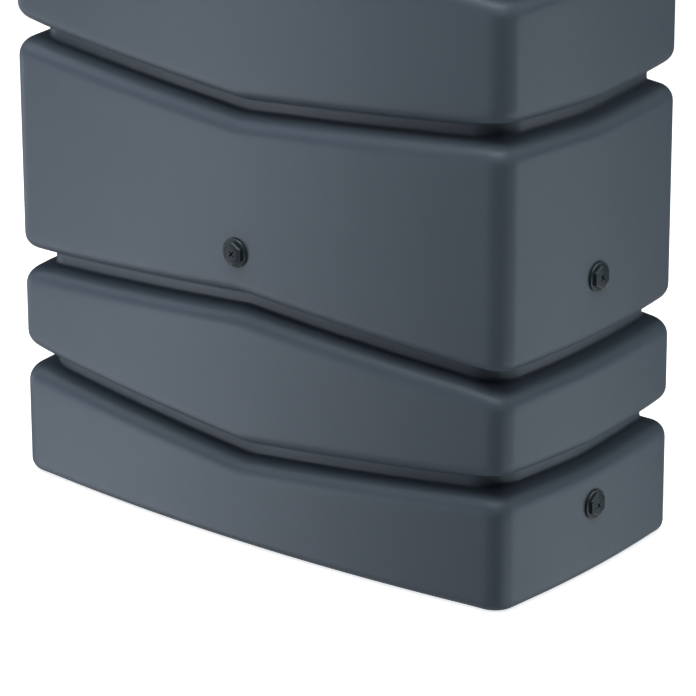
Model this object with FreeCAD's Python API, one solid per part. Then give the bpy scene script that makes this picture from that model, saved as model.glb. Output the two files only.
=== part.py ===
"""Slimline water tank, moulded in one hollow piece, with blanking plugs and a screw lid.

Millimetres. The origin is the middle of the underside: X runs along the width, -Y is the
bowed front, +Y the straight back, and Z goes up. Each ring groove rises or falls from the
middle of a wall to the corners. One upright section of the wall is drawn at stations round the
plan, and the skin runs straight from each station to the next.
"""
import FreeCAD, Part
import math
import os

from FreeCAD import Vector

# Tank plan: the width and depth are measured between the corners of the bowed walls
WIDTH = 790.0
DEPTH = 358.0
FRONT_BOW = 27.0
SIDE_BOW = 10.5
FRONT_CORNER = 30.0
REAR_CORNER = 20.0

# Tank wall and height
HEIGHT = 1300.0
WALL = 5.0
BASE_EDGE = 16.0
SHOULDER = 18.0

# Ring grooves: height of the floor's middle at the middle of the front, at the front corner, at the
# middle of the side, and at the rear corner. The middle of the back is as high as that of the front.
GROOVES = ((127.0, 164.0, 160.0, 167.0),
           (328.0, 298.0, 299.0, 304.0),
           (581.0, 611.0, 605.0, 613.0),
           (820.0, 790.0, 791.0, 796.0),
           (1073.0, 1103.0, 1097.0, 1105.0))
GROOVE_DEPTH = 27.0
GROOVE_FLOOR = 15.0
UPPER_FLANK = 22.0
LOWER_FLANK = 26.0
UPPER_LIP = 20.0
LOWER_LIP = 23.0
FRONT_FLOOR_CORNER = 50.0
REAR_FLOOR_CORNER = 12.0

# Stations of the skin: steps of half a wall and of a corner, and the reach of the flat base under it
FRONT_STEPS = 3
FRONT_CORNER_STEPS = 4
SIDE_STEPS = 2
REAR_CORNER_STEPS = 2
REAR_STEPS = 1
RIM = 30.0

# Ports: height, and which wall each is in
UPPER_PORT = 395.0
LOWER_PORT = 95.0
SPOT_FACE = 40.0
SPOT_DEPTH = 0.6
BOSS = 52.0

# Threaded brass insert moulded into each port
INSERT_FLATS = 34.0
INSERT_LENGTH = 16.0
INSERT_BORE = 26.5

# Port washer
WASHER_OUTER = 37.0
WASHER_BORE = 27.5
WASHER_THICK = 1.5

# Blanking plug
FLANGE = 38.0
FLANGE_THICK = 2.5
HEAD_FLATS = 26.5
HEAD_CORNERS = 30.0
HEAD_HEIGHT = 4.5
HEAD_BEVEL = 0.8
CROSS_LENGTH = 10.0
CROSS_WIDTH = 1.6
CROSS_DEPTH = 1.6
SPIGOT_LENGTH = 12.0
SPIGOT_CLEARANCE = 0.05
SPIGOT_BORE = 18.0
SPIGOT_END_WALL = 2.0

# Filling neck
NECK = 160.0
NECK_WALL = 6.0
NECK_HEIGHT = 28.0

# Screw lid and its seal
SEAL_THICK = 3.0
SEAL_INSET = 1.0
THREAD_ROOM = 3.0
LID_WALL = 4.0
LID_TOP = 5.0
LID_GAP = 4.0
LID_EDGE = 3.0
RIB_COUNT = 20
RIB_WIDTH = 8.0
RIB_HEIGHT = 2.5
GRIP_LENGTH = 120.0
GRIP_WIDTH = 16.0
GRIP_HEIGHT = 14.0
GRIP_EDGE = 3.0

# Working allowances for cutting tools that run past the face that they cut
SLACK = 2.0
TOUCH = 0.01
FLAT = 1e-5

UP = Vector(0, 0, 1)


def bow_radius(chord, bow):
    """Radius of the arc that stands out by bow over a chord."""
    half = chord / 2
    return (half * half + bow * bow) / (2 * bow)


def meeting_point(centre_a, radius_a, centre_b, radius_b):
    """The crossing of two plan circles that has the larger x."""
    line = centre_b - centre_a
    gap = line.Length
    along = (radius_a ** 2 - radius_b ** 2 + gap ** 2) / (2 * gap)
    across = math.sqrt(radius_a ** 2 - along ** 2)
    foot = centre_a + line * (along / gap)
    step = UP.cross(line) * (across / gap)
    return max(foot + step, foot - step, key=lambda point: point.x)


def on_circle(centre, radius, x=None, y=None):
    """Point of a plan circle on its +X or +Y side, at a given x or y."""
    if y is None:
        return Vector(x, centre.y + math.sqrt(radius ** 2 - (x - centre.x) ** 2), 0)
    return Vector(centre.x + math.sqrt(radius ** 2 - (y - centre.y) ** 2), y, 0)


def spread(start, end, steps, centre=None):
    """Points from start to end, both included, on a line or on an arc round a centre."""
    shares = [n / steps for n in range(steps + 1)]
    if centre is None:
        return [start + (end - start) * share for share in shares]
    first = math.atan2(start.y - centre.y, start.x - centre.x)
    turn = math.atan2(end.y - centre.y, end.x - centre.x) - first
    radius = (start - centre).Length
    return [centre + Vector(math.cos(first + turn * share), math.sin(first + turn * share), 0) * radius
            for share in shares]


def onto_circle(centre, radius, point):
    """Point of a plan circle on the line from its centre through another point."""
    line = point - centre
    return centre + line * (radius / line.Length)


def quarter_stations(bow, corner, floor_corner):
    """Wall and groove floor points of a quarter of the plan at +X +Y.

    They run from the middle of the end wall, which is the bowed front or the straight back, to the
    middle of the side wall. The floor's corner has its own pivot, and the stations fan out from it.
    """
    side_radius = bow_radius(DEPTH, SIDE_BOW)
    side = Vector(WIDTH / 2 + SIDE_BOW - side_radius, 0, 0)
    reach = GROOVE_DEPTH + floor_corner
    if bow:
        end_radius = bow_radius(WIDTH, bow)
        end = Vector(0, DEPTH / 2 + bow - end_radius, 0)
        turn = meeting_point(end, end_radius - corner, side, side_radius - corner)
        pivot = meeting_point(end, end_radius - reach, side, side_radius - reach)
        middle = on_circle(end, end_radius, x=0)
        end_foot, end_turn = [onto_circle(end, end_radius, point) for point in (pivot, turn)]
    else:
        end = None
        turn = on_circle(side, side_radius - corner, y=DEPTH / 2 - corner)
        pivot = on_circle(side, side_radius - reach, y=DEPTH / 2 - reach)
        middle, end_foot, end_turn = [Vector(x, DEPTH / 2, 0) for x in (0, pivot.x, turn.x)]
    side_foot, side_turn = [onto_circle(side, side_radius, point) for point in (pivot, turn)]
    end_steps, corner_steps = (FRONT_STEPS, FRONT_CORNER_STEPS) if bow else (REAR_STEPS, REAR_CORNER_STEPS)
    stations = [(wall, wall + (end - wall) * (GROOVE_DEPTH / end_radius) if bow
                 else wall - Vector(0, GROOVE_DEPTH, 0))
                for wall in spread(middle, end_foot, end_steps, end)]
    stations += [(wall, onto_circle(pivot, floor_corner, wall))
                 for wall in spread(end_turn, side_turn, corner_steps, turn)]
    stations += [(wall, onto_circle(side, side_radius - GROOVE_DEPTH, wall))
                 for wall in spread(side_foot, on_circle(side, side_radius, y=0), SIDE_STEPS, side)]
    return stations


def ring_stations():
    """Stations of a full turn: front middle, right side, back, left side."""
    front = quarter_stations(FRONT_BOW, FRONT_CORNER, FRONT_FLOOR_CORNER)
    right = [[Vector(point.x, -point.y, 0) for point in station] for station in front]
    right += quarter_stations(0, REAR_CORNER, REAR_FLOOR_CORNER)[-2::-1]
    left = [[Vector(-point.x, point.y, 0) for point in station] for station in right[-2:0:-1]]
    return right + left


def groove_height(heights, point):
    """Height of a groove at a plan point. It rises evenly between the middles and the corners."""
    middle, front_corner, side_middle, rear_corner = heights
    front_reach = DEPTH / 2 + FRONT_BOW
    side_reach = WIDTH / 2 + SIDE_BOW
    share = WIDTH / 2 / side_reach
    if point.y < 0:
        rise_y = ((front_corner - middle - share * (side_middle - middle))
                  / (DEPTH / 2 - front_reach + share * front_reach))
        rise_x = (side_middle - middle + rise_y * front_reach) / side_reach
        return middle + rise_x * abs(point.x) - rise_y * (point.y + front_reach)
    rise_x = (rear_corner - middle) / (WIDTH / 2)
    rise_y = (middle + rise_x * side_reach - side_middle) / (DEPTH / 2)
    return middle + rise_x * abs(point.x) + rise_y * (point.y - DEPTH / 2)


def rounded(before, point, after, radius):
    """Ends and middle of the arc that rounds the turn at a point of a section."""
    back = before - point
    onward = after - point
    half_angle = back.getAngle(onward) / 2
    back.normalize()
    onward.normalize()
    middle_line = back + onward
    middle_line.normalize()
    run = radius / math.tan(half_angle)
    nearest = radius / math.sin(half_angle) - radius
    return point + back * run, point + middle_line * nearest, point + onward * run


def section_edges(corners, curved):
    """Edges through the corners of a section, each rounded, or cut straight where not curved."""
    edges = []
    last = corners[0][0]
    for (before, _), (point, radius), (after, _) in zip(corners, corners[1:], corners[2:]):
        if radius:
            start, middle, end = rounded(before, point, after, radius)
            edges.append(Part.makeLine(last, start))
            edges.append(Part.Arc(start, middle, end).toShape() if curved else Part.makeLine(start, end))
            last = end
        else:
            edges.append(Part.makeLine(last, point))
            last = point
    edges.append(Part.makeLine(last, corners[-1][0]))
    return edges


def groove_halves(flank, inset):
    """Half heights of a groove's floor and mouth on the side that has a flank of this angle."""
    slope = math.tan(math.radians(flank))
    floor_half = GROOVE_FLOOR / 2 + inset * (1 / math.cos(math.radians(flank)) - slope)
    return floor_half, floor_half + GROOVE_DEPTH * slope


def fitting_grooves():
    """The grooves that end below the shoulder: a lower tank has fewer of them."""
    highest = HEIGHT - SHOULDER - UPPER_LIP - groove_halves(UPPER_FLANK, 0)[1]
    return [heights for heights in GROOVES if max(heights) < highest]


def wall_section(wall, floor, inset, curved):
    """Section of the tank's skin at one station, from the underside to the top.

    wall and floor are the plan points of the wall and of the groove floor there. The skin is set in
    from the outside by inset.
    """
    inward = (floor - wall) * (1 / GROOVE_DEPTH)
    lower_floor, lower_mouth = groove_halves(LOWER_FLANK, inset)
    upper_floor, upper_mouth = groove_halves(UPPER_FLANK, inset)

    def at(depth, height):
        return wall + inward * (depth + inset) + UP * height

    corners = [(at(RIM, inset), 0), (at(0, inset), BASE_EDGE - inset)]
    for heights in fitting_grooves():
        middle = groove_height(heights, wall)
        corners += [(at(0, middle - lower_mouth), LOWER_LIP - inset),
                    (at(GROOVE_DEPTH, middle - lower_floor), 0),
                    (at(GROOVE_DEPTH, middle + upper_floor), 0),
                    (at(0, middle + upper_mouth), UPPER_LIP - inset)]
    corners += [(at(0, HEIGHT - inset), SHOULDER - inset), (at(RIM, HEIGHT - inset), 0)]
    return section_edges(corners, curved)


def strip(edge, following):
    """Faces between the same edge of two neighbouring sections: flat, or ruled between two arcs."""
    if edge.Curve.TypeId == "Part::GeomCircle":
        return [Part.makeRuledSurface(edge, following)]
    start, end = [vertex.Point for vertex in edge.Vertexes]
    next_start, next_end = [vertex.Point for vertex in following.Vertexes]
    normal = (end - start).cross(next_start - start)
    normal.normalize()
    if abs(normal.dot(next_end - start)) < FLAT:
        return [Part.Face(Part.makePolygon([start, end, next_end, next_start, start]))]
    return [Part.Face(Part.makePolygon([start, end, next_end, start])),
            Part.Face(Part.makePolygon([start, next_end, next_start, start]))]


def tank_form(inset, curved):
    """Closed moulded form, set in from the outside by inset."""
    sections = [wall_section(wall, floor, inset, curved) for wall, floor in ring_stations()]
    faces = []
    for section, following in zip(sections, sections[1:] + sections[:1]):
        for edge, next_edge in zip(section, following):
            faces += strip(edge, next_edge)
    for end in (0, -1):
        rim = [section[end].Vertexes[end].Point for section in sections]
        faces.append(Part.Face(Part.makePolygon(rim + rim[:1])))
    skin = Part.Shell(faces)
    skin.sewShape()
    return Part.Solid(skin)


def ports():
    """Name and seat of each port: the seat's Z axis points out of the tank and its Y axis up."""
    front = DEPTH / 2 + FRONT_BOW - SPOT_DEPTH
    side = WIDTH / 2 + SIDE_BOW - SPOT_DEPTH
    places = [("front", Vector(0, -1, 0), front, UPPER_PORT)]
    for name, out in (("right", Vector(1, 0, 0)), ("left", Vector(-1, 0, 0))):
        places.append((name + "_upper", out, side, UPPER_PORT))
        places.append((name + "_lower", out, side, LOWER_PORT))
    seats = []
    for name, out, reach, height in places:
        turn = FreeCAD.Rotation(UP.cross(out), UP, out, "ZYX")
        seats.append((name, FreeCAD.Placement(out * reach + UP * height, turn)))
    return seats


def seated(shape, seat):
    """Copy of a shape, moved from the origin to a port's seat."""
    moved = shape.copy()
    moved.Placement = seat.multiply(moved.Placement)
    return moved


def cylinder(diameter, low, high):
    """Upright cylinder on the Z axis."""
    return Part.makeCylinder(diameter / 2, high - low, Vector(0, 0, low))


def hexagon(flats, low, high):
    """Upright hexagonal prism with two flats square to X."""
    corner = flats / 2 / math.cos(math.radians(30))
    points = [Vector(corner * math.sin(math.radians(60 * n)), corner * math.cos(math.radians(60 * n)),
                     low) for n in range(7)]
    return Part.Face(Part.makePolygon(points)).extrude(UP * (high - low))


def tank_body():
    """Hollow moulding with its port bosses and filling neck."""
    neck_top = HEIGHT + NECK_HEIGHT
    body = tank_form(0, True).cut(tank_form(WALL, False))
    body = body.fuse(cylinder(NECK, HEIGHT - WALL, neck_top))
    body = body.cut(cylinder(NECK - 2 * NECK_WALL, HEIGHT - 2 * WALL, neck_top + WALL))
    for name, seat in ports():
        body = body.fuse(seated(cylinder(BOSS, -INSERT_LENGTH, -WALL / 2), seat))
        body = body.cut(seated(hexagon(INSERT_FLATS, -INSERT_LENGTH - WALL, WALL), seat))
        body = body.cut(seated(cylinder(SPOT_FACE, 0, WALL), seat))
    return body


def insert():
    """Hexagonal brass insert, flush with the spot face and the boss."""
    return hexagon(INSERT_FLATS, -INSERT_LENGTH, 0).cut(
        cylinder(INSERT_BORE, -INSERT_LENGTH - SLACK, SLACK))


def washer():
    """Flat rubber washer on the spot face."""
    return cylinder(WASHER_OUTER, 0, WASHER_THICK).cut(cylinder(WASHER_BORE, -SLACK, WASHER_THICK + SLACK))


def plug():
    """Blanking plug: hollow spigot, flange, and a turned hexagon head with a cross sunk in its face."""
    head_low = WASHER_THICK + FLANGE_THICK
    head_top = head_low + HEAD_HEIGHT
    head = hexagon(HEAD_FLATS, head_low, head_top).common(cylinder(HEAD_CORNERS, head_low, head_top))
    rim = [edge for edge in head.Edges if edge.BoundBox.ZMin > head_top - TOUCH]
    head = head.makeChamfer(HEAD_BEVEL, rim)
    for turn in (45, -45):
        bar = Part.makeBox(CROSS_LENGTH, CROSS_WIDTH, CROSS_DEPTH + SLACK,
                           Vector(-CROSS_LENGTH / 2, -CROSS_WIDTH / 2, head_top - CROSS_DEPTH))
        bar.rotate(Vector(), UP, turn)
        head = head.cut(bar)
    spigot_width = INSERT_BORE - 2 * SPIGOT_CLEARANCE
    body = cylinder(FLANGE, WASHER_THICK, head_low).fuse(head)
    body = body.fuse(cylinder(spigot_width, -SPIGOT_LENGTH, WASHER_THICK))
    hollow = cylinder(SPIGOT_BORE, -SPIGOT_LENGTH - SLACK, WASHER_THICK - SPIGOT_END_WALL)
    return body.cut(hollow).removeSplitter()


def lid_seal():
    """Flat ring on the rim of the neck."""
    low = HEIGHT + NECK_HEIGHT
    bore = cylinder(NECK - 2 * NECK_WALL, low - SLACK, low + SEAL_THICK + SLACK)
    return cylinder(NECK - 2 * SEAL_INSET, low, low + SEAL_THICK).cut(bore)


def screw_lid():
    """Lid with a ribbed skirt over the neck and a grip bar across its top."""
    low = HEIGHT + LID_GAP
    under = HEIGHT + NECK_HEIGHT + SEAL_THICK
    top = under + LID_TOP
    bore = NECK + 2 * THREAD_ROOM
    outer = bore + 2 * LID_WALL
    lid = cylinder(outer, low, top)
    rim = [edge for edge in lid.Edges if edge.BoundBox.ZMin > top - TOUCH]
    lid = lid.makeChamfer(LID_EDGE, rim)
    for n in range(RIB_COUNT):
        rib = Part.makeBox(LID_WALL / 2 + RIB_HEIGHT, RIB_WIDTH, under - low,
                           Vector((outer - LID_WALL) / 2, -RIB_WIDTH / 2, low))
        rib.rotate(Vector(), UP, 360 * (n + 0.5) / RIB_COUNT)
        lid = lid.fuse(rib)
    grip = Part.makeBox(GRIP_LENGTH, GRIP_WIDTH, GRIP_HEIGHT + LID_TOP / 2,
                        Vector(-GRIP_LENGTH / 2, -GRIP_WIDTH / 2, top - LID_TOP / 2))
    exposed = [edge for edge in grip.Edges if edge.BoundBox.ZMin > top + GRIP_HEIGHT - TOUCH]
    lid = lid.fuse(grip.makeChamfer(GRIP_EDGE, exposed))
    return lid.cut(cylinder(bore, low - SLACK, under))


def main():
    """Build every piece and write one file for each."""
    pieces = {"tank_body": tank_body(), "screw_lid": screw_lid(), "lid_seal": lid_seal()}
    for name, seat in ports():
        pieces["insert_" + name] = seated(insert(), seat)
        pieces["washer_" + name] = seated(washer(), seat)
        pieces["plug_" + name] = seated(plug(), seat)
    os.makedirs("parts", exist_ok=True)
    for name, piece in pieces.items():
        print(name, "valid" if piece.isValid() else "NOT VALID", len(piece.Solids), round(piece.Volume))
        piece.exportStep("parts/" + name + ".step")


main()
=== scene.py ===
"""Looks of the slimline water tank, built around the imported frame.

Lengths of the form are millimetres, as in the part's source, and become metres as each mesh is made.
"""
import math

import bmesh
import bpy
from mathutils import Matrix, Vector

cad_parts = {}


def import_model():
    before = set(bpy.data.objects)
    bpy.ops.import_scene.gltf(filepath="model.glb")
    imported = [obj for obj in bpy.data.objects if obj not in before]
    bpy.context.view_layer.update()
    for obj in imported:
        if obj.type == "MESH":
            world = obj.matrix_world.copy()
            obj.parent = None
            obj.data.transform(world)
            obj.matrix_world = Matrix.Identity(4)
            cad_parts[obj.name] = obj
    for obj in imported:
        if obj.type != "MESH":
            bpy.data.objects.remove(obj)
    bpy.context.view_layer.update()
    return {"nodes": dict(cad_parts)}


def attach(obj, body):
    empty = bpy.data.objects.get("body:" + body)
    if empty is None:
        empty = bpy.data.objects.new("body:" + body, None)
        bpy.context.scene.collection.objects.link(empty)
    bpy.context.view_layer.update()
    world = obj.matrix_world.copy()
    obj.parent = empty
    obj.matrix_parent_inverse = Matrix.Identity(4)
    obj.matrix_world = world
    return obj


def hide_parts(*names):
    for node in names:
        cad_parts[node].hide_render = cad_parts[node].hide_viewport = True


MM = 0.001

# Tank form, as in the part's source
WIDTH = 790.0
DEPTH = 358.0
FRONT_BOW = 27.0
SIDE_BOW = 10.5
FRONT_CORNER = 30.0
REAR_CORNER = 20.0
HEIGHT = 1300.0
WALL = 5.0
BASE_EDGE = 16.0
SHOULDER = 18.0
# The wall's section starts and ends this far in, where flat faces close the base and the top
RIM = 30.0
NECK = 160.0
NECK_WALL = 6.0
NECK_HEIGHT = 28.0

# Grooves: heights at the front middle, the front corner, the side middle and the rear corner
GROOVES = ((127.0, 164.0, 160.0, 167.0),
           (328.0, 298.0, 299.0, 304.0),
           (581.0, 611.0, 605.0, 613.0),
           (820.0, 790.0, 791.0, 796.0),
           (1073.0, 1103.0, 1097.0, 1105.0))
GROOVE_DEPTH = 27.0
GROOVE_FLOOR = 15.0
# Flanks in degrees from level
UPPER_FLANK = 22.0
LOWER_FLANK = 26.0
UPPER_LIP = 20.0
LOWER_LIP = 23.0
# Rounding of the groove's floor edges, in the skin only
GROOVE_ROOT = 4.0
FRONT_FLOOR_CORNER = 50.0
REAR_FLOOR_CORNER = 12.0

# Ports, as in the part's source
UPPER_PORT = 395.0
LOWER_PORT = 95.0
BOSS = 52.0
SPOT_FACE = 40.0
SPOT_DEPTH = 0.6
INSERT_FLATS = 34.0
INSERT_LENGTH = 16.0
# Film of tank plastic over the insert's corners: the mouth that it leaves, its underside and its top
PORT_MOUTH = 37.04
FILM_LOW = 0.1
FILM_TOP = 0.25

# Blanking plug, as in the part's source but for the eased edges and the wider, deeper cross
WASHER_THICK = 1.5
FLANGE = 38.0
FLANGE_THICK = 2.5
FLANGE_BACK_EASE = 0.3
FLANGE_FRONT_EASE = 1.2
HEAD_FLATS = 26.5
HEAD_CORNERS = 30.0
HEAD_HEIGHT = 4.5
HEAD_SINK = 0.5
CROSS_LENGTH = 10.0
CROSS_WIDTH = 1.9
CROSS_DEPTH = 3.0
SPIGOT = 26.4
SPIGOT_LENGTH = 12.0
SPIGOT_BORE = 18.0
SPIGOT_END_WALL = 2.0
TIP_STEP = 0.2
TIP_CHAMFER = 0.6
BORE_CHAMFER = 0.5
PINHOLE = 0.01
# How far each row of the head's points lies in from its side, and how far under its face
HEAD_ROWS = ((0, 0.95), (0.06, 0.75), (0.7, 0.12), (1.0, 0))
# How far the flange's back runs in under the spigot and its front under the head, and how far the
# tool that cuts the cross stands out of the face
BACK_OVERLAP = 1.0
FRONT_OVERLAP = 2.0
CROSS_OVER = 2.0

# Plug's thread. It stops short of the tip, grows to its full depth over the fade, and its flanks are
# steepened by the last value, which leaves its crest flat.
PORT_PITCH = 1.814
THREAD_DEPTH = 0.9
THREAD_TIP = 2.0
THREAD_FADE = 2.0
THREAD_STEEPNESS = 1.3

# Neck's thread: (out of the neck, up) outline of its ridge, and its gap to the neck's foot and rim
LID_PITCH = 8.0
NECK_RIDGE = ((-0.5, -2.6), (1.0, -1.1), (2.0, -0.6), (2.0, 0.6), (1.0, 1.1), (-0.5, 2.6))
NECK_RIDGE_GAP = 5.0

# Fineness of the skin, outside and inside. Plan steps are those of the end wall, of the two runs
# beside the corner, of the corner, and of the side wall.
FRONT_STEPS = (32, 6, 12, 12)
REAR_STEPS = (12, 3, 10, 14)
LIP_STEPS = 8
WALL_ROWS = 8
INNER_FRONT_STEPS = (4, 1, 4, 2)
INNER_REAR_STEPS = (1, 1, 3, 2)
INNER_LIP_STEPS = 2
INNER_WALL_ROWS = 1

# Fineness of the round forms in points a turn, or for a thread in sections or rows a turn. The neck's
# thread dies away over the last few sections at each end.
BOSS_POINTS = 72
NECK_POINTS = 128
PORT_POINTS = 96
PLUG_POINTS = 96
HEAD_POINTS = 192
NECK_THREAD_SECTIONS = 72
NECK_THREAD_ENDS = 10
PLUG_THREAD_ROWS = 8
EASE_STEPS = 4

# Edges that turn by more than this many degrees stay sharp
SHARP = 32
RIDGE_SHARP = 40

# Dark and light tone of each plastic, and the light tone of the other materials
TANK_TONES = ((0.078, 0.097, 0.119), (0.082, 0.101, 0.123))
LID_TONES = ((0.018, 0.019, 0.020), (0.022, 0.023, 0.024))
PLUG_TONES = ((0.022, 0.031, 0.034), (0.026, 0.036, 0.039))
RUBBER_TONE = (0.012, 0.012, 0.012)
BRASS_TONE = (0.62, 0.43, 0.16)
TANK_SHINE = 0.25
PLUG_FACE_SHINE = 0.08
PLUG_EDGE_SHINE = 0.9
# Squareness to a wall, as a cosine, at which the shine of an edge starts to fade and has faded
EDGE_FADE = (0.93, 0.985)
# Noise as (scale, detail): colour drift and mould ripple of the plastics, and the colour drift,
# roughness drift and grain of the other materials
PLASTIC_DRIFT = (9.0, 3.0)
PLASTIC_RIPPLE = (14.0, 1.0)
PLAIN_DRIFT = (60.0, 3.0)
PLAIN_ROUGHNESS = (225.0, 3.0)
PLAIN_GRAIN = (900.0, 2.0)

# Camera fitted to the photograph: degrees, metres, and the focal length in the photograph's pixels
CAMERA_AZIMUTH = 38.92
CAMERA_ELEVATION = 20.26
CAMERA_ROLL = -0.229
CAMERA_DISTANCE = 5.32491
CAMERA_TARGET = Vector((0.02578, -0.016, 0.21962))
FOCAL_PIXELS = 4140.09
PHOTO_PIXELS = 696
SENSOR = 36
VIEW_END = 50

# Soft lights: name, azimuth (0 is the front, + is right), elevation, size in metres, watts, colour.
# The floor casts no shadow, so those below it still shine on the tank.
LIGHT_DISTANCE = 2.6
LIGHT_TARGET = Vector((0, 0, 0.45))
LEFT_TINT = (0.96, 1.03, 1.14)
RIGHT_TINT = (0.87, 0.97, 1.05)
LIGHTS = (("left_high", -70, 35, 1.4, 12.0, LEFT_TINT),
          ("left_low", -39, -12, 0.9, 12.5, LEFT_TINT),
          ("left_under", -45, -35, 1.2, 9.5, LEFT_TINT),
          ("left_under_far", -60, -35, 1.2, 6.5, LEFT_TINT),
          ("left_far", -80, -12, 0.9, 4.5, LEFT_TINT),
          ("right_high", 130, 35, 1.4, 7.5, RIGHT_TINT),
          ("right_low", 125, -12, 0.9, 7.5, RIGHT_TINT),
          ("right_under", 85, -35, 1.2, 10.0, RIGHT_TINT),
          ("right_under_far", 127, -35, 1.2, 9.0, RIGHT_TINT),
          ("rim", 50, 39, 0.25, 3.0, (1.0, 1.0, 1.0)),
          ("top", 20, 80, 2.4, 105.0, (0.95, 1.0, 1.05)))

# Glow of the surroundings: its strength below and above, and the slopes (sines) between which it runs
GLOW_BELOW = 0.30
GLOW_ABOVE = 0.02
GLOW_START = -0.36
GLOW_END = -0.10

# Floor and backdrop, in metres
FLOOR_HALF = 30
BACKDROP_HEIGHT = 25
FLOOR_GLOW = 0.8

UP = Vector((0, 0, 1))


# ---- plan and section of the tank

def bow_radius(chord, bow):
    """Radius of the circle that stands out of a chord by the bow."""
    half = chord / 2
    return (half * half + bow * bow) / (2 * bow)


def meeting_point(centre_a, radius_a, centre_b, radius_b):
    """Point furthest to +X where two plan circles meet."""
    line = centre_b - centre_a
    gap = line.length
    along = (radius_a ** 2 - radius_b ** 2 + gap ** 2) / (2 * gap)
    across = math.sqrt(radius_a ** 2 - along ** 2)
    foot = centre_a + line * (along / gap)
    step = UP.cross(line) * (across / gap)
    return max(foot + step, foot - step, key=lambda point: point.x)


def on_circle(centre, radius, x=None, y=None):
    """Point of a plan circle at an x, on its +Y side, or at a y, on its +X side."""
    if y is None:
        return Vector((x, centre.y + math.sqrt(radius ** 2 - (x - centre.x) ** 2), 0))
    return Vector((centre.x + math.sqrt(radius ** 2 - (y - centre.y) ** 2), y, 0))


def onto_circle(centre, radius, point):
    """Point of a plan circle on the line from its centre through another point."""
    return centre + (point - centre).normalized() * radius


def spread(start, end, steps, centre=None):
    """Points from start to end, on a line or on an arc round a centre."""
    shares = [n / steps for n in range(steps + 1)]
    if centre is None:
        return [start.lerp(end, share) for share in shares]
    first = math.atan2(start.y - centre.y, start.x - centre.x)
    turn = math.atan2(end.y - centre.y, end.x - centre.x) - first
    radius = (start - centre).length
    return [centre + Vector((math.cos(first + turn * s), math.sin(first + turn * s), 0)) * radius
            for s in shares]


def side_circle():
    """Centre and radius of the right wall's bow."""
    radius = bow_radius(DEPTH, SIDE_BOW)
    return Vector((WIDTH / 2 + SIDE_BOW - radius, 0, 0)), radius


def front_circle():
    """Centre and radius of the front wall's bow, drawn on the +Y side and mirrored later."""
    radius = bow_radius(WIDTH, FRONT_BOW)
    return Vector((0, DEPTH / 2 + FRONT_BOW - radius, 0)), radius


def quarter_stations(bowed, corner, floor_corner, steps):
    """Wall and groove floor points of a quarter of the plan at +X +Y, from its end wall to its side.

    The steps are those of the end wall, of the two runs beside the corner, of the corner, and of the
    side wall.
    """
    end_steps, beside_steps, corner_steps, side_steps = steps
    side, side_radius = side_circle()
    reach = GROOVE_DEPTH + floor_corner
    if bowed:
        end, end_radius = front_circle()
        turn = meeting_point(end, end_radius - corner, side, side_radius - corner)
        pivot = meeting_point(end, end_radius - reach, side, side_radius - reach)
        middle = on_circle(end, end_radius, x=0)
        end_foot, end_turn = [onto_circle(end, end_radius, point) for point in (pivot, turn)]
    else:
        end = None
        turn = on_circle(side, side_radius - corner, y=DEPTH / 2 - corner)
        pivot = on_circle(side, side_radius - reach, y=DEPTH / 2 - reach)
        middle, end_foot, end_turn = [Vector((x, DEPTH / 2, 0)) for x in (0, pivot.x, turn.x)]
    side_foot, side_turn = [onto_circle(side, side_radius, point) for point in (pivot, turn)]
    stations = []
    for wall in spread(middle, end_foot, end_steps, end)[:-1]:
        inward = (end - wall) / end_radius if bowed else Vector((0, -1, 0))
        stations.append((wall, wall + inward * GROOVE_DEPTH))
    fan = spread(end_foot, end_turn, beside_steps, end)[:-1]
    fan += spread(end_turn, side_turn, corner_steps, turn)[:-1]
    fan += spread(side_turn, side_foot, beside_steps, side)[:-1]
    stations += [(wall, onto_circle(pivot, floor_corner, wall)) for wall in fan]
    side_middle = on_circle(side, side_radius, y=0)
    return stations + [(wall, onto_circle(side, side_radius - GROOVE_DEPTH, wall))
                       for wall in spread(side_foot, side_middle, side_steps, side)]


def ring_stations(front_steps, rear_steps):
    """Stations of a full turn: front middle, right side, back, left side."""
    front = quarter_stations(True, FRONT_CORNER, FRONT_FLOOR_CORNER, front_steps)
    right = [[Vector((point.x, -point.y, 0)) for point in station] for station in front]
    right += quarter_stations(False, REAR_CORNER, REAR_FLOOR_CORNER, rear_steps)[-2::-1]
    left = [[Vector((-point.x, point.y, 0)) for point in station] for station in right[-2:0:-1]]
    return right + left


def groove_height(heights, point):
    """Height of a groove at a plan point, as in the part's source."""
    middle, front_corner, side_middle, rear_corner = heights
    front_reach = DEPTH / 2 + FRONT_BOW
    side_reach = WIDTH / 2 + SIDE_BOW
    share = WIDTH / 2 / side_reach
    if point.y < 0:
        rise_y = ((front_corner - middle - share * (side_middle - middle))
                  / (DEPTH / 2 - front_reach + share * front_reach))
        rise_x = (side_middle - middle + rise_y * front_reach) / side_reach
        return middle + rise_x * abs(point.x) - rise_y * (point.y + front_reach)
    rise_x = (rear_corner - middle) / (WIDTH / 2)
    rise_y = (middle + rise_x * side_reach - side_middle) / (DEPTH / 2)
    return middle + rise_x * abs(point.x) + rise_y * (point.y - DEPTH / 2)


def rounded(before, point, after, radius, steps):
    """Points of the arc that rounds the turn at a point."""
    back = (before - point).normalized()
    onward = (after - point).normalized()
    half = back.angle(onward) / 2
    centre = point + (back + onward).normalized() * (radius / math.sin(half))
    start = (point + back * (radius / math.tan(half)) - centre).normalized()
    end = (point + onward * (radius / math.tan(half)) - centre).normalized()
    return [centre + start.slerp(end, n / steps) * radius for n in range(steps + 1)]


def groove_halves(flank, inset):
    """Half heights of a groove's floor and mouth on the side that has a flank of this angle."""
    slope = math.tan(math.radians(flank))
    floor_half = GROOVE_FLOOR / 2 + inset * (1 / math.cos(math.radians(flank)) - slope)
    return floor_half, floor_half + GROOVE_DEPTH * slope


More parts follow.
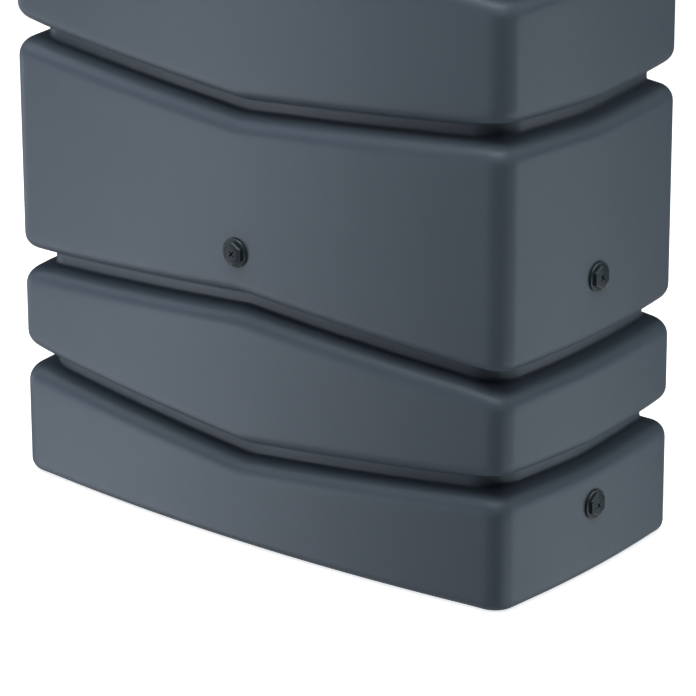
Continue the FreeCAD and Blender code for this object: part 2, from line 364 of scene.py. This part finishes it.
def wall_section(wall, floor, inset, lip_steps, wall_rows, root):
    """Points of the skin's section at one station, from the underside to the top.

    Each run of wall between two grooves is parted into rows.
    """
    inward = (floor - wall) / GROOVE_DEPTH
    lower_floor, lower_mouth = groove_halves(LOWER_FLANK, inset)
    upper_floor, upper_mouth = groove_halves(UPPER_FLANK, inset)

    def at(depth, height):
        return wall + inward * (depth + inset) + UP * height

    # Each corner has its rounding. A groove adds four, so the first one after a run of wall, which
    # is a groove's lower mouth or the shoulder, is always the third of its four.
    corners = [(at(RIM, inset), 0), (at(0, inset), BASE_EDGE - inset)]
    for heights in GROOVES:
        middle = groove_height(heights, wall)
        corners += [(at(0, middle - lower_mouth), LOWER_LIP - inset),
                    (at(GROOVE_DEPTH, middle - lower_floor), root),
                    (at(GROOVE_DEPTH, middle + upper_floor), root),
                    (at(0, middle + upper_mouth), UPPER_LIP - inset)]
    corners += [(at(0, HEIGHT - inset), SHOULDER - inset), (at(RIM, HEIGHT - inset), 0)]
    points = [corners[0][0]]
    for index in range(1, len(corners) - 1):
        (before, _), (point, radius), (after, _) = corners[index - 1:index + 2]
        turn = rounded(before, point, after, radius, lip_steps) if radius else [point]
        if index % 4 == 2:
            points += [points[-1].lerp(turn[0], row / wall_rows) for row in range(1, wall_rows)]
        points += turn
    return points + [corners[-1][0]]


# ---- mesh helpers

def mesh_object(name, points, faces, scale=MM):
    """Object with a new mesh, made of points in millimetres unless the scale says otherwise."""
    mesh = bpy.data.meshes.new(name)
    mesh.from_pydata([tuple(Vector(point) * scale) for point in points], [], faces)
    mesh.validate()
    made = bpy.data.objects.new(name, mesh)
    bpy.context.scene.collection.objects.link(made)
    return made


def discard(made):
    """Removes an object and its mesh."""
    mesh = made.data
    bpy.data.objects.remove(made)
    bpy.data.meshes.remove(mesh)


def shade(made, angle):
    """Smooth shading, with the edges that turn by more than an angle kept sharp."""
    edit = bmesh.new()
    edit.from_mesh(made.data)
    for face in edit.faces:
        face.smooth = True
    for edge in edit.edges:
        edge.smooth = len(edge.link_faces) == 2 and edge.calc_face_angle() < math.radians(angle)
    edit.to_mesh(made.data)
    edit.free()


def settle(made):
    """Puts an object's modifiers into its mesh."""
    graph = bpy.context.evaluated_depsgraph_get()
    mesh = bpy.data.meshes.new_from_object(made.evaluated_get(graph))
    made.modifiers.clear()
    old = made.data
    made.data = mesh
    bpy.data.meshes.remove(old)


def combine(made, tool, operation):
    """Boolean of a mesh with a tool, which is then removed."""
    modifier = made.modifiers.new(operation.lower(), "BOOLEAN")
    modifier.operation = operation
    modifier.solver = "EXACT"
    modifier.object = tool
    settle(made)
    discard(tool)


def circle(diameter, count):
    """Plan outline of a circle."""
    return [(diameter / 2 * math.cos(2 * math.pi * n / count),
             diameter / 2 * math.sin(2 * math.pi * n / count)) for n in range(count)]


def hexagon(flats):
    """Plan outline of a hexagon, from the distance between its flats."""
    corner = flats / math.sqrt(3)
    return [(-corner * math.sin(math.pi / 3 * n), corner * math.cos(math.pi / 3 * n)) for n in range(6)]


def level_ring(radius, height, count):
    """Points of a level circle round Z."""
    return [Vector((x, y, height)) for x, y in circle(2 * radius, count)]


def ring_faces(rings, count, falling=False):
    """Outward quads between neighbouring rings of points round Z, which rise or fall."""
    faces = []
    for row in range(rings - 1):
        for n in range(count):
            here, onward = row * count + n, row * count + (n + 1) % count
            if falling:
                faces.append((here, here + count, onward + count, onward))
            else:
                faces.append((here, onward, onward + count, here + count))
    return faces


def skin_faces(columns, rows, first, flip):
    """Quads between neighbouring sections of the skin, the last of which joins the first."""
    faces = []
    for column in range(columns):
        left = first + column * rows
        right = first + (column + 1) % columns * rows
        for row in range(rows - 1):
            face = (left + row, right + row, right + row + 1, left + row + 1)
            faces.append(face[::-1] if flip else face)
    return faces


def prism(outline, low, high):
    """Points and faces of an upright prism over a plan outline of (x, y)."""
    count = len(outline)
    points = [Vector((x, y, z)) for z in (low, high) for x, y in outline]
    caps = [tuple(range(count))[::-1], tuple(range(count, 2 * count))]
    return points, caps + ring_faces(2, count)


def turned(profile, count):
    """Points and faces of a surface turned round Z from rising (radius, height) points."""
    points = [point for radius, height in profile for point in level_ring(radius, height, count)]
    return points, ring_faces(len(profile), count)


def eased(corners):
    """Outline through (radius, height, rounding) corners, with each corner rounded."""
    flat = [(Vector((radius, 0, height)), ease) for radius, height, ease in corners]
    points = [flat[0][0]]
    for (before, _), (point, ease), (after, _) in zip(flat, flat[1:], flat[2:]):
        points += rounded(before, point, after, ease, EASE_STEPS) if ease else [point]
    points.append(flat[-1][0])
    return [(point.x, point.z) for point in points]


def joined(name, solids):
    """One object from several (points, faces) solids."""
    points, faces = [], []
    for solid_points, solid_faces in solids:
        faces += [tuple(index + len(points) for index in face) for face in solid_faces]
        points += solid_points
    return mesh_object(name, points, faces)


def placed(solid, seat):
    """A solid of points and faces, moved by a matrix."""
    points, faces = solid
    return [seat @ point for point in points], faces


# ---- tank skin

def seats():
    """Each port's name and the matrix that takes the port's frame, with Z outwards, to its place."""
    front = DEPTH / 2 + FRONT_BOW - SPOT_DEPTH
    side = WIDTH / 2 + SIDE_BOW - SPOT_DEPTH
    places = [("front", Vector((0, -1, 0)), front, UPPER_PORT)]
    for name, out in (("right", Vector((1, 0, 0))), ("left", Vector((-1, 0, 0)))):
        places.append((name + "_upper", out, side, UPPER_PORT))
        places.append((name + "_lower", out, side, LOWER_PORT))
    made = []
    for name, out, reach, height in places:
        turn = Matrix((UP.cross(out), UP, out)).transposed().to_4x4()
        made.append((name, Matrix.Translation(out * reach + UP * height) @ turn))
    return made


def bare_shell():
    """Outside and inside of the tank, without neck and ports."""
    outside = (0, (FRONT_STEPS, REAR_STEPS), LIP_STEPS, WALL_ROWS, GROOVE_ROOT)
    inside = (WALL, (INNER_FRONT_STEPS, INNER_REAR_STEPS), INNER_LIP_STEPS, INNER_WALL_ROWS, 0)
    points, faces = [], []
    for inset, steps, lip_steps, wall_rows, root in (outside, inside):
        sections = [wall_section(wall, floor, inset, lip_steps, wall_rows, root)
                    for wall, floor in ring_stations(*steps)]
        rows = len(sections[0])
        first = len(points)
        faces += skin_faces(len(sections), rows, first, flip=bool(inset))
        low = tuple(first + n * rows for n in range(len(sections)))
        high = tuple(first + n * rows + rows - 1 for n in range(len(sections)))
        faces += [low, high[::-1]] if inset else [low[::-1], high]
        for section in sections:
            points += section
    return mesh_object("tank_skin", points, faces)


def tank_shell():
    """Hollow skin with its bosses, pockets, spot faces and neck."""
    shell = bare_shell()
    neck_top = HEIGHT + NECK_HEIGHT
    added = [prism(circle(NECK, NECK_POINTS), HEIGHT - WALL / 2, neck_top)]
    spots = [prism(circle(NECK - 2 * NECK_WALL, NECK_POINTS), HEIGHT - 2 * WALL, neck_top + WALL)]
    pockets, mouths = [], []
    for _, seat in seats():
        added.append(placed(prism(circle(BOSS, BOSS_POINTS), -INSERT_LENGTH, -WALL / 2), seat))
        pockets.append(placed(prism(hexagon(INSERT_FLATS), -INSERT_LENGTH - WALL, FILM_LOW), seat))
        mouths.append(placed(prism(circle(PORT_MOUTH, PORT_POINTS), 0, WALL), seat))
        spots.append(placed(prism(circle(SPOT_FACE, PORT_POINTS), FILM_TOP, WALL), seat))
    combine(shell, joined("added", added), "UNION")
    combine(shell, joined("pockets", pockets), "DIFFERENCE")
    combine(shell, joined("mouths", mouths), "DIFFERENCE")
    combine(shell, joined("spots", spots), "DIFFERENCE")
    shade(shell, SHARP)
    return shell


def neck_thread():
    """Helical ridge round the neck, under the lid's skirt, which dies away at both ends."""
    first = HEIGHT + NECK_RIDGE_GAP
    last = HEIGHT + NECK_HEIGHT - NECK_RIDGE_GAP
    count = int((last - first) / LID_PITCH * NECK_THREAD_SECTIONS)
    points = []
    for n in range(count + 1):
        angle = 2 * math.pi * n / NECK_THREAD_SECTIONS
        size = min(1.0, n / NECK_THREAD_ENDS, (count - n) / NECK_THREAD_ENDS)
        for out, rise in NECK_RIDGE:
            reach = NECK / 2 + (out * size if out > 0 else out)
            points.append(Vector((reach * math.cos(angle), reach * math.sin(angle),
                                  first + LID_PITCH * n / NECK_THREAD_SECTIONS + rise)))
    rows = len(NECK_RIDGE)
    faces = [(n * rows + row, (n + 1) * rows + row, (n + 1) * rows + (row + 1) % rows,
              n * rows + (row + 1) % rows) for n in range(count) for row in range(rows)]
    faces += [tuple(range(rows)), tuple(range(count * rows, (count + 1) * rows))[::-1]]
    ridge = mesh_object("neck_thread", points, faces)
    shade(ridge, RIDGE_SHARP)
    return ridge


# ---- blanking plug, in its port's frame

def head_outline():
    """(Reach, angle) points of a hexagon whose corners are turned down."""
    outline = []
    for n in range(HEAD_POINTS):
        angle = 2 * math.pi * (n + 0.5) / HEAD_POINTS
        from_flat = (angle + math.pi / 6) % (math.pi / 3) - math.pi / 6
        outline.append((min(HEAD_FLATS / 2 / math.cos(from_flat), HEAD_CORNERS / 2), angle))
    return outline


def plug_head():
    """Head with a bevel round its face and a cross sunk in it."""
    low = WASHER_THICK + FLANGE_THICK
    top = low + HEAD_HEIGHT
    rows = [(0, low - HEAD_SINK)] + [(inset, top - drop) for inset, drop in HEAD_ROWS]
    points = [Vector(((reach - inset) * math.cos(angle), (reach - inset) * math.sin(angle), height))
              for inset, height in rows for reach, angle in head_outline()]
    faces = ring_faces(len(rows), HEAD_POINTS)
    faces.append(tuple(range(HEAD_POINTS))[::-1])
    faces.append(tuple(range((len(rows) - 1) * HEAD_POINTS, len(rows) * HEAD_POINTS)))
    head = mesh_object("plug_head", points, faces)
    length, width = CROSS_LENGTH / 2, CROSS_WIDTH / 2
    bar = prism([(-length, -width), (length, -width), (length, width), (-length, width)],
                top - CROSS_DEPTH, top + CROSS_OVER)
    for turn in (45, -45):
        spin = Matrix.Rotation(math.radians(turn), 4, "Z")
        combine(head, mesh_object("bar", *placed(bar, spin)), "DIFFERENCE")
    return head


def flange():
    """Both faces and the edge of the flange, with its edges eased."""
    low = WASHER_THICK
    top = low + FLANGE_THICK
    outline = eased([(SPIGOT / 2 - BACK_OVERLAP, low, 0), (FLANGE / 2, low, FLANGE_BACK_EASE),
                     (FLANGE / 2, top, FLANGE_FRONT_EASE), (HEAD_FLATS / 2 - FRONT_OVERLAP, top, 0)])
    return turned(outline, PLUG_POINTS)


def spigot():
    """Outside with a helical thread, end and bore of the spigot."""
    root = SPIGOT / 2 - THREAD_DEPTH
    count = int(round((SPIGOT_LENGTH - THREAD_TIP) / PORT_PITCH * PLUG_THREAD_ROWS))
    heights = [WASHER_THICK] + [-row * PORT_PITCH / PLUG_THREAD_ROWS for row in range(count + 1)]
    points = []
    for height in heights:
        fade = min(1.0, max(0.0, (WASHER_THICK - height) / THREAD_FADE))
        for n in range(PLUG_POINTS):
            angle = 2 * math.pi * n / PLUG_POINTS
            phase = (height / PORT_PITCH - n / PLUG_POINTS) % 1.0
            crest = 1 - abs(2 * phase - 1)
            radius = root + THREAD_DEPTH * min(1.0, crest * THREAD_STEEPNESS) * fade
            points.append(Vector((radius * math.cos(angle), radius * math.sin(angle), height)))
    end, tip, bore = root - TIP_STEP, -SPIGOT_LENGTH, SPIGOT_BORE / 2
    bottom = WASHER_THICK - SPIGOT_END_WALL
    for radius, height in ((end, tip + TIP_CHAMFER), (end - TIP_CHAMFER, tip),
                           (bore + BORE_CHAMFER, tip), (bore, tip + BORE_CHAMFER),
                           (bore, bottom), (PINHOLE, bottom)):
        points += level_ring(radius, height, PLUG_POINTS)
    return points, ring_faces(len(points) // PLUG_POINTS, PLUG_POINTS, falling=True)


def plug_mesh():
    """Mesh of a whole plug: threaded spigot, flange and head."""
    head = plug_head()
    body = joined("plug_body", [flange(), spigot()])
    edit = bmesh.new()
    edit.from_mesh(head.data)
    edit.from_mesh(body.data)
    mesh = bpy.data.meshes.new("plug")
    edit.to_mesh(mesh)
    edit.free()
    discard(head)
    discard(body)
    return mesh


# ---- materials

def new_material(name):
    """Material, its node tree and its shader."""
    material = bpy.data.materials.new(name)
    material.use_nodes = True
    tree = material.node_tree
    return material, tree, tree.nodes["Principled BSDF"]


def node(tree, kind, **values):
    """New node, with its named inputs set."""
    made = tree.nodes.new(kind)
    for key, value in values.items():
        made.inputs[key.replace("_", " ")].default_value = value
    return made


def noise(tree, scale, detail):
    """Noise that stays with the object."""
    place = tree.nodes.get("Texture Coordinate") or tree.nodes.new("ShaderNodeTexCoord")
    made = node(tree, "ShaderNodeTexNoise", Scale=scale, Detail=detail)
    tree.links.new(place.outputs["Object"], made.inputs["Vector"])
    return made.outputs["Fac"]


def blend(tree, factor, low, high, from_min=0.3, from_max=0.7):
    """Runs a factor between two colours or two numbers."""
    made = node(tree, "ShaderNodeMapRange", From_Min=from_min, From_Max=from_max)
    tree.links.new(factor, made.inputs["Value"])
    if isinstance(low, (int, float)):
        made.inputs["To Min"].default_value = low
        made.inputs["To Max"].default_value = high
        return made.outputs["Result"]
    mix = tree.nodes.new("ShaderNodeMix")
    mix.data_type = "RGBA"
    mix.inputs["A"].default_value = (*low, 1)
    mix.inputs["B"].default_value = (*high, 1)
    tree.links.new(made.outputs["Result"], mix.inputs["Factor"])
    return mix.outputs["Result"]


def bump(tree, shader, layers):
    """Bump from (height factor, distance in metres, strength) layers."""
    normal = None
    for height, distance, strength in layers:
        made = node(tree, "ShaderNodeBump", Distance=distance, Strength=strength)
        tree.links.new(height, made.inputs["Height"])
        if normal:
            tree.links.new(normal, made.inputs["Normal"])
        normal = made.outputs["Normal"]
    tree.links.new(normal, shader.inputs["Normal"])


def plastic(name, tones, rough, grain, grain_depth, ripple_depth=0.0):
    """Moulded plastic: slight colour drift, grain, and the long soft ripple of the mould."""
    material, tree, shader = new_material(name)
    tree.links.new(blend(tree, noise(tree, *PLASTIC_DRIFT), *tones), shader.inputs["Base Color"])
    tree.links.new(blend(tree, noise(tree, grain / 6, 3.0), rough - 0.04, rough + 0.04),
                   shader.inputs["Roughness"])
    bump(tree, shader, [(noise(tree, *PLASTIC_RIPPLE), ripple_depth, 1.0),
                        (noise(tree, grain, 2.0), grain_depth, 1.0)])
    return material


def dull_faces(material, face_level, edge_level):
    """Keeps the shine for the edges: the flat faces, square to a wall, are spark-eroded and dull."""
    tree = material.node_tree
    axes = tree.nodes.new("ShaderNodeSeparateXYZ")
    tree.links.new(tree.nodes["Texture Coordinate"].outputs["Normal"], axes.inputs["Vector"])
    squareness = tree.nodes.new("ShaderNodeMath")
    squareness.operation = "MAXIMUM"
    for index, axis in enumerate(("X", "Y")):
        size = tree.nodes.new("ShaderNodeMath")
        size.operation = "ABSOLUTE"
        tree.links.new(axes.outputs[axis], size.inputs[0])
        tree.links.new(size.outputs["Value"], squareness.inputs[index])
    level = blend(tree, squareness.outputs["Value"], edge_level, face_level, *EDGE_FADE)
    shine = tree.nodes["Principled BSDF"].inputs["Specular IOR Level"]
    shine.default_value = face_level
    tree.links.new(level, shine)


def simple(name, tone, rough, metallic=0.0):
    """Plain material with slight drift of colour and roughness, and a fine grain."""
    material, tree, shader = new_material(name)
    shader.inputs["Metallic"].default_value = metallic
    dark = tuple(value * 0.85 for value in tone)
    tree.links.new(blend(tree, noise(tree, *PLAIN_DRIFT), dark, tone), shader.inputs["Base Color"])
    tree.links.new(blend(tree, noise(tree, *PLAIN_ROUGHNESS), rough - 0.05, rough + 0.05),
                   shader.inputs["Roughness"])
    bump(tree, shader, [(noise(tree, *PLAIN_GRAIN), 0.00004, 0.6)])
    return material


def tank_material():
    """Matt plastic of the tank."""
    tank = plastic("tank_plastic", TANK_TONES, rough=0.42, grain=900.0, grain_depth=0.00005,
                   ripple_depth=0.0002)
    tank.node_tree.nodes["Principled BSDF"].inputs["Specular IOR Level"].default_value = TANK_SHINE
    return tank


def plug_material():
    """Satin plastic of the plugs."""
    black = plastic("plug_plastic", PLUG_TONES, rough=0.3, grain=1400.0, grain_depth=0.00002)
    dull_faces(black, PLUG_FACE_SHINE, PLUG_EDGE_SHINE)
    return black


# ---- scene

def bearing(azimuth, elevation):
    """Unit vector to an azimuth (0 is the front, + is right) and an elevation, in degrees."""
    azimuth, elevation = math.radians(azimuth), math.radians(elevation)
    return Vector((math.sin(azimuth) * math.cos(elevation), -math.cos(azimuth) * math.cos(elevation),
                   math.sin(elevation)))


def camera():
    """Camera fitted to the photograph's outline and plugs."""
    back = bearing(CAMERA_AZIMUTH, CAMERA_ELEVATION)
    right = bearing(CAMERA_AZIMUTH + 90, 0)
    turn = Matrix((right, back.cross(right), back)).transposed().to_4x4()
    roll = Matrix.Rotation(math.radians(CAMERA_ROLL), 4, "Z")
    data = bpy.data.cameras.new("camera")
    data.lens = FOCAL_PIXELS / PHOTO_PIXELS * SENSOR
    data.sensor_width = SENSOR
    data.clip_end = VIEW_END
    made = bpy.data.objects.new("camera", data)
    made.matrix_world = Matrix.Translation(CAMERA_TARGET + back * CAMERA_DISTANCE) @ turn @ roll
    bpy.context.scene.collection.objects.link(made)
    bpy.context.scene.camera = made


def area_light(name, azimuth, elevation, size, power, colour):
    """Soft square light that looks at the lower part of the tank."""
    data = bpy.data.lights.new(name, "AREA")
    data.shape = "SQUARE"
    data.size = size
    data.energy = power
    data.color = colour
    made = bpy.data.objects.new(name, data)
    back = bearing(azimuth, elevation)
    made.location = LIGHT_TARGET + back * LIGHT_DISTANCE
    made.rotation_euler = back.to_track_quat("Z", "Y").to_euler()
    bpy.context.scene.collection.objects.link(made)


def floor_and_backdrop():
    """Plain pale floor with low walls far off, which neither shade nor light the tank."""
    corners = [(-FLOOR_HALF, -FLOOR_HALF), (FLOOR_HALF, -FLOOR_HALF),
               (FLOOR_HALF, FLOOR_HALF), (-FLOOR_HALF, FLOOR_HALF)]
    walls = [(i, (i + 1) % 4, (i + 1) % 4 + 4, i + 4) for i in range(4)]
    floor = mesh_object("floor", [(x, y, z) for z in (0, BACKDROP_HEIGHT) for x, y in corners],
                        [(0, 1, 2, 3)] + walls, scale=1.0)
    material, _, shader = new_material("floor")
    shader.inputs["Base Color"].default_value = (0.9, 0.9, 0.9, 1)
    shader.inputs["Roughness"].default_value = 0.9
    shader.inputs["Emission Color"].default_value = (1, 1, 1, 1)
    shader.inputs["Emission Strength"].default_value = FLOOR_GLOW
    floor.data.materials.append(material)
    floor.visible_diffuse = False
    floor.visible_glossy = False
    floor.visible_shadow = False


def glow():
    """Faint white glow of the surroundings, stronger from below."""
    world = bpy.data.worlds.new("studio")
    world.use_nodes = True
    tree = world.node_tree
    background = tree.nodes["Background"]
    background.inputs["Color"].default_value = (1, 1, 1, 1)
    place = tree.nodes.new("ShaderNodeTexCoord")
    axes = tree.nodes.new("ShaderNodeSeparateXYZ")
    tree.links.new(place.outputs["Generated"], axes.inputs["Vector"])
    strength = blend(tree, axes.outputs["Z"], GLOW_BELOW, GLOW_ABOVE, GLOW_START, GLOW_END)
    tree.links.new(strength, background.inputs["Strength"])
    bpy.context.scene.world = world


def studio():
    """Floor and backdrop, a faint glow all round, and the soft lights."""
    floor_and_backdrop()
    glow()
    for light in LIGHTS:
        area_light(*light)
    bpy.context.scene.view_settings.view_transform = "Standard"


# ---- pieces

def add_tank():
    """Fine skin of the tank in place of its solid, and the thread of its neck."""
    tank = tank_material()
    shell = tank_shell()
    shell.data.materials.append(tank)
    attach(shell, "tank")
    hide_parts("tank_body")
    thread = neck_thread()
    thread.data.materials.append(tank)
    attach(thread, "tank")


def add_plugs():
    """Detailed plug in place of each plug's solid."""
    plug = plug_mesh()
    plug.materials.append(plug_material())
    for name, seat in seats():
        made = bpy.data.objects.new("plug_shape_" + name, plug.copy())
        made.data.transform(Matrix.Scale(MM, 4) @ seat @ Matrix.Scale(1 / MM, 4))
        bpy.context.scene.collection.objects.link(made)
        shade(made, SHARP)
        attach(made, "plug_" + name)
        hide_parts("plug_" + name)


def dress_solids(frame):
    """Materials of the solids that stay as they are."""
    rubber = simple("rubber", RUBBER_TONE, rough=0.7)
    looks = {"insert": simple("brass", BRASS_TONE, rough=0.3, metallic=1.0),
             "washer": rubber,
             "lid_seal": rubber,
             "screw_lid": plastic("lid_plastic", LID_TONES, rough=0.55, grain=900.0,
                                  grain_depth=0.00006)}
    for name, made in frame["nodes"].items():
        for start, material in looks.items():
            if name.startswith(start):
                made.data.materials.clear()
                made.data.materials.append(material)


def main():
    """Builds the scene around the frame."""
    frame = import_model()
    camera()
    add_tank()
    add_plugs()
    dress_solids(frame)
    studio()


main()
